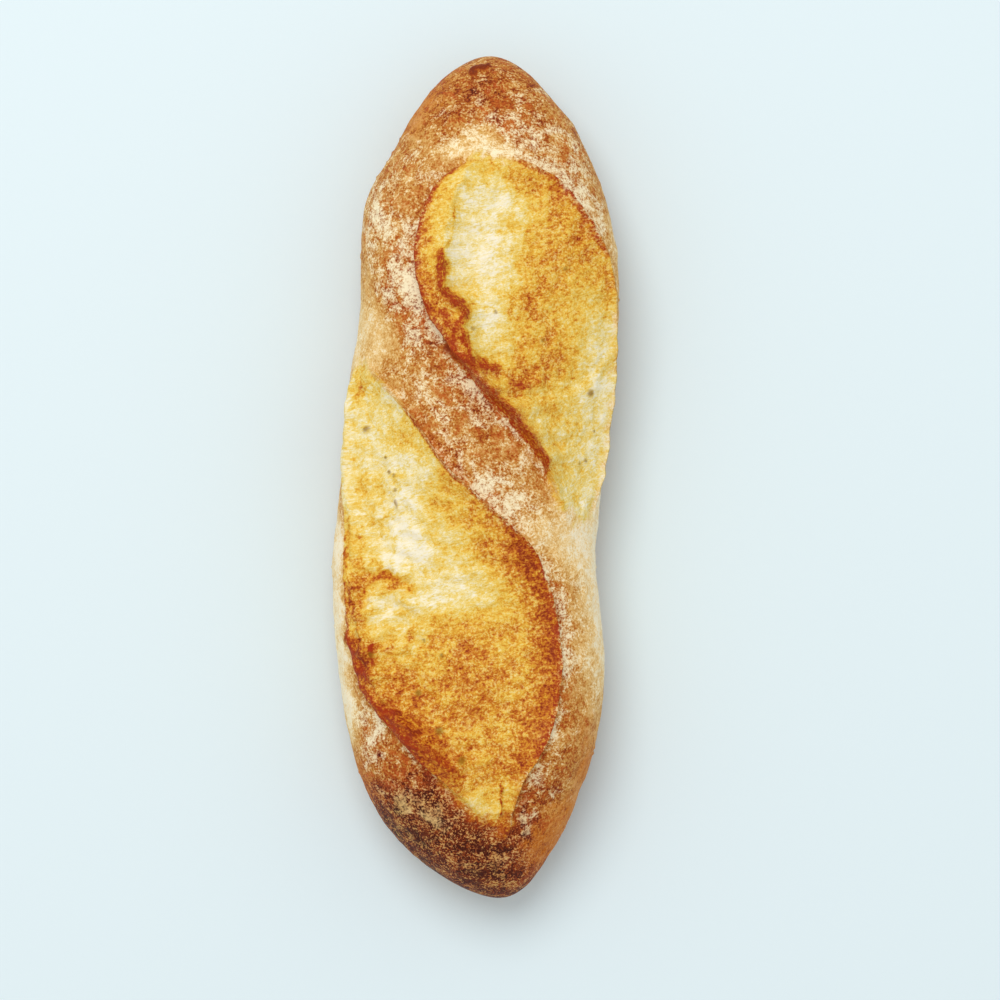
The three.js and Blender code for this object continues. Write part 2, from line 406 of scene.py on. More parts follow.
# Distances are kept up to this far, in millimetres or in widths of a line.
FAR = 9.0
END_INSET = 3
END_FRAY = 3.0
CREASE_INSET = 0.3
CORNER_CUT = 1.6
CORNER_REACH = 2.5
frayed = field(size=4, octaves=3, seed=41)


def depth_inside(slash, parts):
    """Millimetres from the nearest edge of an opening, negative outside it."""
    ends = np.minimum(slash.high - END_INSET - y, y - slash.low - END_INSET) + END_FRAY * frayed
    sides = np.minimum(parts["ear"], -CREASE_INSET - parts["crease"])
    rounded = np.minimum(sides, ends) - CORNER_CUT * np.exp(-np.abs(sides - ends) / CORNER_REACH)
    return np.clip(rounded, -FAR, FAR)


upper_inside = depth_inside(upper, in_upper)
lower_inside = depth_inside(lower, in_lower)
inside = np.maximum(upper_inside, lower_inside)
is_upper = upper_inside > lower_inside


def of_nearer(in_upper_one, in_lower_one):
    """Of two values, the one that belongs to the nearer opening."""
    return np.where(is_upper, in_upper_one, in_lower_one)


# Crust passes into crumb softly where an opening runs out, and sharply along the rest of its edges.
RUN_OUT_SOFTNESS = 4.0
near_ear = of_nearer(in_upper["ear"] < -in_upper["crease"], in_lower["ear"] < -in_lower["crease"])
soft_ear = of_nearer(upper.at("soft_ear", y), lower.at("soft_ear", y))
soft_crease = of_nearer(upper.at("soft_crease", y), lower.at("soft_crease", y))
strength = of_nearer(in_upper["strength"], in_lower["strength"])
soft = np.maximum(np.where(near_ear, soft_ear, soft_crease), RUN_OUT_SOFTNESS * (1 - strength))
upper_in = ease(upper_inside, -0.5 * soft, 0.5 * soft)
lower_in = ease(lower_inside, -0.5 * soft, 0.5 * soft)
in_crumb = np.clip(upper_in + lower_in, 0, 1)
on_skin = 1 - in_crumb
risen = dough + outward * ((upper_height + lower_height) * fade)[..., None]
plan_x = risen[..., 0]
UPSIDE_EDGES = (84, 106)
upside = 1 - ease(np.abs(angle), *UPSIDE_EDGES)

broad = field(size=13, octaves=2, seed=3)
leather = field(size=3.4, octaves=3, seed=7)
lumps = field(size=6.5, octaves=2, seed=19)
FOLD_LENGTH = 4.2
FOLD_WIDTH = 1.5
arc = angle * degree_span(y)
bent = y + 1.6 * field(size=7, octaves=2, seed=37)
stretched = [Vector((a / FOLD_LENGTH, b / FOLD_WIDTH, 0)) for a, b in zip(np.ravel(arc), np.ravel(bent))]
folds = field(size=1.0, octaves=2, seed=13, places=stretched)

# The left of the lower opening tore into coarse lumps. The upper opening's crumb ends in a fold at the lower
# right, and sinks into a valley past it.
torn_side = lower_in * (1 - ease(plan_x, -24, -6)) * span(y, -88, 10, 14, 30)
past_ear = ease(in_lower["ear"], 0.5, 6)
rugged = lower_in * np.clip(0.35 + 0.65 * torn_side, 0, 1) * past_ear + 0.3 * upper_in
FOLD_X = [6, 12, 20, 27, 31, 38]
FOLD_Y = [17.5, 19.5, 21.0, 23.0, 27.0, 36.0]
past_fold = np.interp(plan_x, FOLD_X, FOLD_Y) + 0.8 * frayed - y
valley = upper_in * ease(past_fold, -1.2, 1.2)
VALLEY_DEPTH = 1.1
VALLEY_REACH = 9
BROAD_HEIGHT = 0.45
SKIN_LEATHER = 0.16
CRUMB_LEATHER = 0.28
FOLD_HEIGHT = 0.20
LUMP_HEIGHT = 1.1
LUMP_SINK = 0.3
texture = (
    BROAD_HEIGHT * broad + on_skin * SKIN_LEATHER * leather
    + in_crumb * (FOLD_HEIGHT * folds + CRUMB_LEATHER * leather)
    + rugged * (LUMP_HEIGHT * np.abs(lumps) + 0.45 * leather - LUMP_SINK)
    + torn_side * past_ear * (LUMP_HEIGHT * np.abs(lumps) + 0.3 * leather - LUMP_SINK)
    - VALLEY_DEPTH * valley * np.exp(-np.maximum(0, past_fold) / VALLEY_REACH)
)

# Torn lines, and ridges where the depth is negative: how deep, how wide, how far browned, and the line's
# points in plan, X and Y.
MARKS = [
    (0.7, 0.9, 1.0, [(-1.0, 109.6), (0.8, 110.9), (3.2, 111.5)]),
    (0.4, 0.5, 0.7, [(-7.5, 82.2), (-2.9, 83.4)]),
    (0.8, 0.5, 0.9, [(6.6, -83.0), (7.2, -87.0), (6.7, -91.0)]),
    (0.7, 0.9, 0.60, [(-6.0, 71.5), (-5.4, 68.4), (-6.4, 65.1), (-7.6, 60.5)]),
    (1.0, 1.8, 1.00, [(-8.9, 58.6), (-8.5, 54.8), (-8.7, 51.2), (-6.7, 48.2), (-3.7, 45.8)]),
    (0.7, 2.0, 0.85, [(-5.5, 47.0), (-1.8, 44.0), (-3.1, 41.4), (-4.8, 39.0)]),
    (0.5, 1.8, 0.70, [(-8.0, 44.0), (-6.5, 40.5), (-5.0, 37.0), (-5.8, 33.0)]),
    (1.0, 1.8, 1.00, [(-7.4, 34.4), (-4.8, 32.4), (-0.8, 31.1), (2.3, 29.7), (4.8, 28.6)]),
    (0.7, 1.0, 0.75, [(-1.6, 37.4), (-0.6, 34.1), (-0.7, 31.1)]),
    (0.6, 1.8, 0.70, [(9.0, 24.8), (13.0, 24.0), (16.5, 25.0)]),
    (-1.1, 1.8, 0.55, [(-31.5, -34.5), (-29.3, -28.9), (-26.0, -26.4), (-21.1, -28.6), (-16.5, -30.8)]),
    (1.2, 1.6, 0.0, [(-28.5, -36.5), (-25.5, -31.0), (-21.0, -32.0), (-16.5, -34.5)]),
    (0.6, 1.6, 0.70, [(-27.6, -27.0), (-24.5, -26.2), (-21.5, -27.6)]),
    (0.7, 1.6, 0.85, [(-34.0, -43.1), (-32.4, -47.0), (-30.9, -51.2), (-28.4, -54.1)]),
    (0.8, 1.0, 0.90, [(-27.1, -45.4), (-27.0, -48.0), (-26.4, -50.2)]),
    (0.6, 0.8, 0.40, [(-31.5, -39.5), (-29.5, -44.5), (-30.5, -48.0)]),
    (0.8, 1.9, 0.80, [(-30.1, -56.3), (-26.7, -60.1), (-23.2, -63.8)]),
    (0.7, 2.2, 0.60, [(-24.0, -60.0), (-19.2, -66.8), (-12.4, -73.0), (-5.6, -78.5)]),
    (0.6, 1.4, 0.90, [(-22.0, -66.0), (-18.0, -70.0), (-15.0, -72.0)]),
    (-0.6, 1.2, 0.0, [(-27.0, -57.0), (-21.0, -63.0), (-16.0, -65.5)]),
    (0.1, 1.2, 0.62, [(-34.3, -10.9), (-35.3, -22.6), (-34.6, -35.7)]),
    (0.6, 1.8, 0.42, [(-29.6, 27.0), (-31.5, 22.3), (-32.8, 17.7)]),
    (0.6, 1.2, 0.20, [(-12.0, 1.5), (-7.0, 0.0), (-2.5, -4.5)]),
    (0.6, 1.1, 0.20, [(-22.0, -34.5), (-14.0, -29.0), (-6.0, -26.5), (0.0, -25.5)]),
    (0.5, 1.0, 0.15, [(-12.0, -38.5), (-5.0, -35.0), (4.0, -33.5)]),
    (0.5, 1.1, 0.20, [(-28.0, -16.0), (-21.0, -13.5), (-14.0, -15.5)]),
    (0.5, 1.2, 0.35, [(4.0, -20.5), (8.0, -22.0), (12.0, -21.0)]),
]
# Pores: X, Y, radius and depth.
PORES = [
    (-28.6, 13.0, 1.2, 0.8), (-22.9, 1.4, 0.8, 0.5), (-21.6, 0.4, 0.7, 0.5), (-21.4, -3.5, 0.7, 0.4),
    (-21.4, -6.6, 0.8, 0.5), (-21.0, -8.0, 0.7, 0.5), (-23.6, 5.3, 0.6, 0.4), (30.1, 22.3, 1.3, 0.5),
    (29.3, 4.1, 0.7, 0.5), (27.7, 3.3, 0.6, 0.5), (31.7, 12.0, 0.6, 0.4), (-27.1, -47.7, 1.2, 0.6),
    (-9.7, -68.4, 1.5, 0.9), (-3.7, -76.3, 1.4, 0.7), (-15.4, -58.3, 1.2, 0.7), (-0.4, 39.5, 0.9, 1.0),
    (5.3, 44.0, 0.8, 0.4), (18.0, 36.5, 0.8, 0.5), (24.1, 56.0, 0.8, 0.4), (-9.0, -48.0, 0.9, 0.5),
    (-14.0, -44.0, 0.8, 0.4),
]
# The pores and the small pores are darkened with painted shade: their shade shares clear flour from them,
# and the finish tints the pores brown.
PORE_SHADE = 0.6
MARK_WAVER = 0.9
FAINT_MARK = 1.7
wavering = np.stack([field(size=1.8, octaves=2, seed=47), field(size=1.8, octaves=2, seed=53)])
wavy_x = plan_x + MARK_WAVER * wavering[0]
wavy_y = y + MARK_WAVER * wavering[1]


def distance_to(path):
    """Millimetres in plan to a line through a few points, which wavers as a crack does."""
    nearest = np.full(angle.shape, np.inf)
    for (x0, y0), (x1, y1) in zip(path, path[1:]):
        way_x, way_y = x1 - x0, y1 - y0
        t = np.clip(((wavy_x - x0) * way_x + (wavy_y - y0) * way_y) / (way_x ** 2 + way_y ** 2), 0, 1)
        nearest = np.minimum(nearest, np.hypot(wavy_x - x0 - t * way_x, wavy_y - y0 - t * way_y))
    return nearest


def close_to(distance, reach):
    """1 on a line and 0 well away from it, to either side."""
    return np.exp(-(distance / reach) ** 2)


pits = np.zeros_like(angle)
shade = np.zeros_like(angle)
mark_far = np.full(angle.shape, FAR)
pore_far = np.full(angle.shape, FAR)
for depth, half_width, browned, path in MARKS:
    nearest = distance_to(path)
    near = close_to(nearest, half_width) * upside
    pits += depth * near
    shade = np.maximum(shade, browned * near)
    # A mark that is less browned counts as farther off, so that the finish scores it more faintly.
    mark_far = np.minimum(mark_far, nearest / half_width + FAINT_MARK * (1 - browned) + FAR * (1 - upside))
for x, at_y, radius, depth in PORES:
    nearest = np.hypot(plan_x - x, y - at_y)
    near = close_to(nearest, radius) * upside
    pits += depth * near
    shade = np.maximum(shade, PORE_SHADE * near)
    pore_far = np.minimum(pore_far, nearest / radius + FAR * (1 - upside))

draw = np.random.default_rng(20)
SMALL_PORES = 150
SMALL_PORE_DEPTH = 0.35
SMALL_PORE_SHADE = 0.3
BLISTERS = 240
BLISTER_STEEPNESS = 0.16
SCATTER_END = 104
SCATTER_EDGE = 95


def scatter(count, radius_low, radius_high):
    """Small round marks drawn over the upper side: for each, its rings, its radius and how near they are."""
    for _ in range(count):
        at_y = draw.uniform(-SCATTER_END, SCATTER_END)
        at_angle = draw.uniform(-SCATTER_EDGE, SCATTER_EDGE)
        radius = draw.uniform(radius_low, radius_high)
        rings = np.flatnonzero(np.abs(ring_y - at_y) < 2 * radius)
        distance = np.hypot(y[rings] - at_y, (angle[rings] - at_angle) * degree_span(y[rings]))
        yield rings, radius, np.clip(1 - (distance / radius) ** 2, 0, 1) ** 2


for rings, _, near in scatter(SMALL_PORES, radius_low=0.5, radius_high=0.9):
    pits[rings] += SMALL_PORE_DEPTH * near
    shade[rings] = np.maximum(shade[rings], SMALL_PORE_SHADE * near)
blisters = np.zeros_like(angle)
for rings, radius, near in scatter(BLISTERS, radius_low=0.8, radius_high=1.9):
    blisters[rings] = np.maximum(blisters[rings], BLISTER_STEEPNESS * radius * near)

relief = (upper_height + lower_height + unevenness + texture + blisters - pits) * fade
# The crack at the upper tip is kept where all other relief has faded.
UPPER_TIP_FROM = 100
relief = relief - pits * (1 - fade) * (y > UPPER_TIP_FROM)
skin = dough + outward * relief[..., None] + rightward * ((upper_curl + lower_curl) * fade)[..., None]
skin[..., 2] = np.maximum(0, skin[..., 2])

# ---- The bake ----
# How far each place has browned, from 0, pale crumb, to 1, nearly black. The ends and every edge that stands
# up brown most, and crumb that tore open late stays cream.

# Two parts of the bake are painted shade as well: the upper ear's shadow on its shelf, and the hollows
# between the coarse lumps at the left of the lower opening.
PATCH_WARP = 3.2
PATCH_FRAY = 1.2
warp = np.stack([field(size=9, octaves=3, seed=17), field(size=9, octaves=3, seed=23)])
warped_x = plan_x + PATCH_WARP * warp[0] + PATCH_FRAY * wavering[0]
warped_y = y + PATCH_WARP * warp[1] + PATCH_FRAY * wavering[1]


def patch(x, at_y, half_x, half_y, turn):
    """A soft oval on the top of the loaf, seen from above and turned anticlockwise by so many degrees."""
    c, s = math.cos(math.radians(turn)), math.sin(math.radians(turn))
    dx, dy = warped_x - x, warped_y - at_y
    return np.exp(-((c * dx + s * dy) / half_x) ** 2 - ((c * dy - s * dx) / half_y) ** 2) * upside


def patches(rows):
    """The sum of soft ovals, each by its own amount."""
    return sum(amount * patch(*place) for *place, amount in rows)


# Every patch is X, Y, its two half sizes, its turn in degrees, and by how much it is paler or browner.
CRUMB_BAKE = 0.40
PALE_CRUMB = [
    (-4.5, 62, 3, 13, 0, 0.14), (2, 58, 8, 20, 0, 0.26), (7, 75, 7, 6, 0, 0.20), (5.5, 41, 4, 6, 0, 0.26),
    (36, 22, 9, 28, 0, 0.28), (24, -2, 12, 12, 0, 0.16), (-36, 6, 7, 22, 0, 0.18),
    (-26, 12, 9, 16, 0, 0.15), (-14.5, 3, 6, 3, 0, 0.26), (-17, -20, 10, 8, 20, 0.34),
    (-6, -30, 13, 5, 10, 0.24), (-24, -36, 5, 6, 30, 0.26), (-20, -8, 5, 12, 0, 0.24),
    (4, -33, 6, 4, 0, 0.15), (0, -83, 8, 7, 0, 0.22), (-2, -12, 9, 6, 0, 0.06),
]
BROWNED_CRUMB = [
    (24, 64, 9, 9, -50, 0.12), (17, 48, 10, 12, 0, 0.13), (15, 31, 13, 8, 0, 0.16), (12, 26, 8, 3, -8, 0.14),
    (-2, -47, 13, 12, 0, 0.20), (-2, -62, 16, 12, 0, 0.16), (-24, -28, 7, 2.2, 0, 0.26),
    (-30, -31, 2, 5, -20, 0.24), (-33, -46, 3, 6, 0, 0.2), (-31.3, 22.0, 1.6, 6.5, -20, 0.26),
    (-31.5, -1.5, 3, 4.5, 0, 0.16), (-31, -48, 4, 9, 10, 0.20), (6, -18, 10, 6, 0, 0.08),
    (7.5, -21.5, 5, 1.4, -15, 0.10), (-32, -25, 4, 14, 0, 0.14), (-24, -62, 5, 10, 40, 0.08),
    (-27.4, -47.6, 2.2, 3.4, 0, 0.16), (-30.7, -50.3, 2.4, 3, 0, 0.2), (-22.8, -58, 7, 2.6, -25, 0.24),
    (-16.5, -69.8, 6, 4, -40, 0.24),
]
# Each edge bakes towards a level of its own: the mask of where it lies, then the level. Beside the upper ear
# the level is both browned crumb and painted shadow of the ear on its shelf.
right_of_top = ease(plan_x, 3, 12)
by_upper_crease = upper_in * close_to(in_upper["crease"], 10) * span(y, 42, 92, 14, 8) * right_of_top
by_lower_crease = lower_in * close_to(in_lower["crease"], 9) * span(y, -88, 2, 14, 24)
by_lower_ear = lower_in * close_to(in_lower["ear"], 8.5) * span(y, -90, -34, 10, 22)
on_upper_shelf = upper_in * (in_upper["tear"] < 0)
# The shelf next to the upper ear is darkened as browned crumb and as the ear's painted shadow.
beside_upper_ear_bake_and_shadow = on_upper_shelf * close_to(in_upper["ear"], 3.6) * span(y, 24, 76, 12, 12)
mid_upper_shelf = on_upper_shelf * span(y, 20, 62, 10, 10)
EDGE_BAKES_AND_SHADE = [
    (0.85 * by_upper_crease, 0.62),
    (0.95 * by_lower_crease, 0.80),
    (0.95 * by_lower_ear, 0.86),
    (0.7 * on_upper_shelf, 0.45),
    (0.8 * mid_upper_shelf, 0.59),
    (0.9 * valley, 0.37 - 0.15 * ease(plan_x, 20, 32)),
    (0.85 * beside_upper_ear_bake_and_shadow, 0.76),
]
crumb_bake = CRUMB_BAKE - patches(PALE_CRUMB) + patches(BROWNED_CRUMB)
for mask, level in EDGE_BAKES_AND_SHADE:
    crumb_bake = blend(crumb_bake, level, mask)
crumb_bake = crumb_bake + 0.12 * leather + 0.10 * folds + 0.07 * wavering[0] + 0.07 * lumps
# Thin dark lines run between the coarse lumps at the left: painted shade in the hollows between them.
crumb_bake = crumb_bake + torn_side * (0.24 * close_to(lumps, 0.09) - 0.05)

SKIN_BAKE = 0.45
UPPER_END_BAKE = 0.14
LOWER_END_BAKE = 0.46
PALE_SKIN = [
    (28, -16, 8, 9, 0, 0.30), (34, -32, 5.5, 26, 0, 0.46), (-38.5, -40, 4.0, 26, 0, 0.44),
    (37, 62, 3, 14, 0, 0.2), (-33, 34, 7, 12, 0, 0.30), (18, -16, 8, 5, -30, 0.16), (36, 8, 3, 20, 0, 0.3),
    (27, -92, 5, 16, -20, 0.30), (17, -101, 6, 9, -30, 0.16), (20, -90, 8, 12, -20, 0.16),
    (-15, 100, 4, 10, -35, 0.08), (0, 88.5, 10, 4.5, 0, 0.32),
]
BROWNED_SKIN = [
    (-14, -84, 12, 10, 30, 0.10), (25, -66, 6, 12, 0, 0.08), (4, 18, 12, 12, 40, 0.12),
    (0, 104, 9, 7, 0, 0.12), (-14, 44, 8, 20, 25, 0.14), (-24, 76, 8, 14, -20, 0.03),
    (-9, 7, 3, 14, 36, 0.10),
]
upper_end = ease(y, 74, 112)
lower_end = ease(-y, 64, 100)
left_of_upper = span(y, 20, 70, 20, 20) * (plan_x < -25)
skin_bake = (
    SKIN_BAKE + UPPER_END_BAKE * upper_end + LOWER_END_BAKE * lower_end - 0.06 * left_of_upper
    - patches(PALE_SKIN) + patches(BROWNED_SKIN) + 0.06 * leather
)
# A rim low on each flank stays pale, more on the left than on the right. Its edges, and the underside's,
# wander with the skin's unevenness.
RIM_TOP = (64, 86)
RIM_FOOT = (88, 116)
RIM_PALENESS = 0.40
RIGHT_RIM_SHARE = 0.65
PALEST_SKIN = 0.05
UNDERSIDE_EDGES = (92, 124)
UNDERSIDE_BAKE = 0.52
flank_angle = np.abs(angle) + 8 * broad + 4 * leather + 6 * warp[1]
left_rim = span(warped_y, -94, 8, 44, 34)
right_rim = RIGHT_RIM_SHARE * span(warped_y, -64, 10, 36, 30)
rim = ease(flank_angle, *RIM_TOP) * (1 - 0.8 * ease(flank_angle, *RIM_FOOT))
rim = rim * np.where(angle < 0, left_rim, right_rim)
skin_bake = np.maximum(skin_bake - RIM_PALENESS * rim, PALEST_SKIN + 0.06 * leather)
underneath = ease(flank_angle, *UNDERSIDE_EDGES)
skin_bake = blend(skin_bake, UNDERSIDE_BAKE + 0.06 * broad, underneath)
bake = np.clip(blend(skin_bake, crumb_bake, in_crumb) + 0.08 * warp[0], 0.0, 1.0)

# The steps behind the ears, the creases and the tear are drawn in thin dark lines: charred crust along the
# tear, and charred crust with painted shade in the steps under the ears and in the creases. Each is kept as
# how many of its own widths away it is, so that the finish can draw it finer than the mesh. Past its ends it
# counts as farther off.
WALL_BEYOND = 0.8
UPPER_CREASE_WIDTH = 1.1
TEAR_WIDTH = 0.7
wall_far = of_nearer(
    in_upper["ear"] / (upper.at("wall", y) + WALL_BEYOND) + 1.5 * (1 - span(y, -4, 85, 9, 5)),
    in_lower["ear"] / (lower.at("wall", y) + WALL_BEYOND) + 1.5 * (1 - span(y, -84, -26, 8, 12)),
)
lower_crease_width = np.interp(y, (-30, -5), (1.2, 0.6))
crease_far = of_nearer(
    -in_upper["crease"] / UPPER_CREASE_WIDTH + 3 * (1 - span(y, 54, 90, 8, 4) * right_of_top),
    -in_lower["crease"] / lower_crease_width + 3 * (1 - span(y, -82, 22, 10, 6)),
)
tear_far = of_nearer(np.abs(in_upper["tear"] + 0.3) / TEAR_WIDTH + 2 * (1 - span(y, 28, 60, 4, 6)), FAR)

# ---- The flour ----
# Rice flour from the proving basket. It lies thickest where the skin was highest, along the lips beside both
# slashes, and in drifts near the ends; the torn crumb came up clean.

FLOUR_LEVEL = 0.26
CREASE_FLOUR = 0.22
EAR_FLOUR = 0.30
FLOURED = [
    (-18, 54, 6, 13, 0, 0.26), (-14, 40, 6, 7, 25, 0.16), (8, 95, 7, 6, 0, 0.24), (20, 87, 11, 5, -35, 0.12),
    (30, 72, 5, 12, 25, 0.14), (-8, 22, 8, 8, 0, 0.12), (4, 12, 7, 7, 0, 0.06), (2.5, 25, 3, 7, 35, 0.20),
    (10, -6, 9, 6, -40, 0.18), (-29, -66, 5, 9, 15, 0.20), (-12.5, -92, 9, 7, 0, 0.14),
    (4, -107, 13, 4, 0, 0.05), (18, -84, 5, 5, 0, 0.12), (15, -94, 2.6, 2.4, 0, 0.30),
    (-27, 72, 7, 12, 0, 0.16), (-1, 88.5, 10, 3.5, 0, 0.20), (22, -36, 4, 12, 0, 0.10),
    (-39, -44, 4, 20, 0, 0.20),
]
BARE = [
    (-15, 100, 4, 10, -35, 0.35), (26, -92, 6, 16, -20, 0.5), (18, -101, 5, 8, -30, 0.3),
    (29, -76, 4, 12, 0, 0.12), (-33, 34, 8, 14, 0, 0.16), (-34, -84, 6, 14, 25, 0.14),
    (4, 18, 10, 10, 40, 0.06),
]
# Where hardly any flour stuck, near the ends, the bare crust is orange.
ORANGE = [
    (-14, 101, 4, 10, -34, 0.9), (26, -91, 5, 18, -20, 0.9), (17, -101, 5, 9, -30, 0.9),
    (-33, -82, 4, 10, 20, 0.8), (31, -74, 3, 9, 0, 0.6), (-9, 7, 3, 14, 36, 0.35),
]


def just_outside(distance, reach):
    """1 along the outer side of an edge, 0 well away from it and inside it."""
    return close_to(distance, reach) * (distance > 0)


orange = np.clip(patches(ORANGE), 0, 1)
orange = orange + 0.5 * just_outside(in_lower["crease"], 1.8) * span(y, -16, 22, 14, 12)
beside_creases = (
    just_outside(in_lower["crease"], 4.5) * span(y, -78, 12, 12, 20)
    + just_outside(in_upper["crease"], 4) * span(y, 50, 90, 12, 6)
)
beside_ears = (
    just_outside(-in_upper["ear"], 1.8) * span(y, -6, 90, 14, 8)
    + just_outside(-in_lower["ear"], 1.2) * span(y, -86, -50, 8, 12)
)
flour = (
    FLOUR_LEVEL - 0.06 * ease(np.abs(y), 84, 106) - 0.12 * ease(np.abs(angle), 60, 100)
    + 1.5 * patches(FLOURED) - patches(BARE) + CREASE_FLOUR * beside_creases + EAR_FLOUR * beside_ears
)
flour = flour + 0.14 * field(size=6, octaves=3, seed=29)
flour = np.clip(flour * (1 - 0.5 * underneath) * (1 - shade), 0, 1)

# ---- The loaf as a mesh ----
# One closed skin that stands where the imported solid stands, made of rings of quads with a fan of triangles
# at each tip. The bake, the crumb and the flour are stored on its points, for the finish to read.

tips = [dough_point(np.array(at), np.array(0.0)) for at in TIP_Y]
low_corner, high_corner = (np.array(corner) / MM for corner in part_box("loaf"))
# In X, the middle of the loaf without its texture and curls goes to the middle of the solid's box. In Y, the
# middle between its two tips does.
plain = risen + outward * (unevenness * fade)[..., None]
plain_low, plain_high = plain.min((0, 1)), plain.max((0, 1))
shift = (low_corner + high_corner - plain_low - plain_high) / 2 * (1, 0, 0)
shift[1] = (low_corner[1] + high_corner[1] - sum(TIP_Y)) / 2

ring_count, column_count = angle.shape
points = np.vstack([skin.reshape(-1, 3), tips]) + shift
index = np.arange(ring_count * column_count).reshape(ring_count, column_count)
beyond = np.roll(index, -1, axis=1)
quads = np.stack([index[:-1], index[1:], beyond[1:], beyond[:-1]], axis=-1).reshape(-1, 4)
low_tip, high_tip = ring_count * column_count, ring_count * column_count + 1
low_fan = [(low_tip, a, b) for a, b in zip(index[0].tolist(), beyond[0].tolist())]
high_fan = [(high_tip, b, a) for a, b in zip(index[-1].tolist(), beyond[-1].tolist())]
mesh = bpy.data.meshes.new("loaf_skin")
mesh.from_pydata((points * MM).tolist(), [], quads.tolist() + low_fan + high_fan)
mesh.shade_smooth()


def store(name, values):
    """Keeps a value on every point of the skin; the two tips take the mean of the ring beside them."""
    whole = np.append(values.ravel(), [values[0].mean(), values[-1].mean()])
    mesh.attributes.new(name, "FLOAT", "POINT").data.foreach_set("value", whole.astype(np.float32))


store("bake", bake)
store("flour", flour)
store("orange", orange)
store("inside", inside)
store("soft", soft)
store("wall", np.clip(wall_far, -FAR, FAR))
store("crease", np.clip(crease_far, -FAR, FAR))
store("tear", np.clip(tear_far, 0, FAR))
store("mark", np.clip(mark_far, 0, FAR))
store("pore", np.clip(pore_far, 0, FAR))
store("arc", arc)
store("run", y)

loaf = bpy.data.objects.new("baked_loaf", mesh)
bpy.context.scene.collection.objects.link(loaf)
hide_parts("loaf")
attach(loaf, "root")

# ---- The loaf's finish ----
# Browned crust under dusted flour, and torn crumb that runs from cream through gold to chestnut.
# The grain of both is finer than the mesh, so it is worked out in the material.


class Wire:
    """A socket of a material. Python's operators on it add Math nodes."""

    def __init__(self, tree, socket=None):
        self.tree = tree
        self.socket = socket

    def node(self, kind, settings=None, inputs=None, output=0):
        """Adds a node: its settings first, then the values or links of its sockets."""
        made = self.tree.nodes.new(kind)
        for name, value in (settings or {}).items():
            if name == "stops":
                fill_ramp(made.color_ramp, value)
            else:
                setattr(made, name, value)
        for name, value in (inputs or {}).items():
            if isinstance(value, Wire):
                self.tree.links.new(value.socket, made.inputs[name])
            else:
                made.inputs[name].default_value = value
        return Wire(self.tree, made.outputs[output] if len(made.outputs) else None)

    def math(self, operation, first, second):
        """Adds a Math node."""
        return self.node("ShaderNodeMath", {"operation": operation}, {0: first, 1: second})

    def larger(self, other):
        """The larger of two values."""
        return self.math("MAXIMUM", self, other)

    def toward(self, level, share):
        """This value, moved by a share of the way to a level."""
        return self + (level - self) * share

    def __add__(self, other):
        return self.math("ADD", self, other)

    def __sub__(self, other):
        return self.math("SUBTRACT", self, other)

    def __rsub__(self, other):
        return self.math("SUBTRACT", other, self)

    def __mul__(self, other):
        return self.math("MULTIPLY", self, other)

    __radd__ = __add__
    __rmul__ = __mul__

    def between(self, low, high):
        """0 below low and 1 above high, eased."""
        settings = {"interpolation_type": "SMOOTHSTEP", "clamp": True}
        limits = {"From Min": low, "From Max": high}
        return self.node("ShaderNodeMapRange", settings, {"Value": self, **limits})

    def tint(self, share, colour):
        """This colour, mixed towards another by a share."""
        return self.node("ShaderNodeMix", {"data_type": "RGBA"}, {0: share, 6: self, 7: colour}, output=2)


def fill_ramp(ramp, stops):
    """Gives a colour ramp its stops, each a position and a colour."""
    while len(ramp.elements) < len(stops):
        ramp.elements.new(1.0)
    for element, (position, colour) in zip(ramp.elements, stops):
        element.position = position
        element.color = colour


def paint(red, green, blue):
    """A colour given as it looks, from 0 to 255, as the light it sends back."""
    looks = [value / 255 for value in (red, green, blue)]
    return (*[v / 12.92 if v <= 0.04045 else ((v + 0.055) / 1.055) ** 2.4 for v in looks], 1.0)


CRUMB_STOPS = [
    (0.00, paint(249, 239, 212)), (0.14, paint(245, 228, 172)), (0.28, paint(239, 210, 120)),
    (0.42, paint(236, 193, 76)), (0.56, paint(223, 161, 46)), (0.70, paint(203, 122, 26)),
    (0.84, paint(180, 84, 16)), (1.00, paint(138, 44, 8)),
]
PALE_HUSK = paint(238, 212, 146)
CHAR_AND_SHADE_RED = paint(172, 52, 10)
PORE_SHADOW_BROWN = paint(146, 100, 10)
RUSSET = paint(196, 88, 26)
ORANGE_CRUST = paint(210, 118, 22)
SKIN_STOPS = [
    (0.00, paint(252, 238, 206)), (0.14, paint(244, 212, 152)), (0.28, paint(229, 184, 112)),
    (0.42, paint(210, 157, 82)), (0.54, paint(193, 127, 50)), (0.66, paint(173, 94, 24)),
    (0.78, paint(148, 60, 10)), (0.90, paint(112, 36, 4)), (1.00, paint(66, 18, 2)),
]
FLOUR_WHITE = paint(254, 241, 202)
TOASTED_FLOUR = paint(216, 176, 108)

material = bpy.data.materials.new("baked_crust")
material.use_nodes = True
tree = material.node_tree
tree.nodes.clear()
bench = Wire(tree)


def stored(name):
    """A value that is kept on the skin's points."""
    return bench.node("ShaderNodeAttribute", {"attribute_name": name}, output=2)


place = bench.node("ShaderNodeTexCoord", output=3)


def grain(size, detail, vector=place, unit_length=MM, roughness=0.6, distortion=0.0):
    """Cloudy noise, 0 to 1 and about 0.5 in the mean, with lumps of this size in millimetres."""
    inputs = {
        "Vector": vector, "Scale": 1 / (size * unit_length), "Detail": detail, "Roughness": roughness,
        "Distortion": distortion,
    }
    return bench.node("ShaderNodeTexNoise", inputs=inputs)


baked, dusted, oranged, arc_wire, run_wire = (
    stored(name) for name in ("bake", "flour", "orange", "arc", "run")
)
depth_in, edge_soft, wall_at, crease_at, tear_at, mark_at, pore_at = (
    stored(name) for name in ("inside", "soft", "wall", "crease", "tear", "mark", "pore")
)
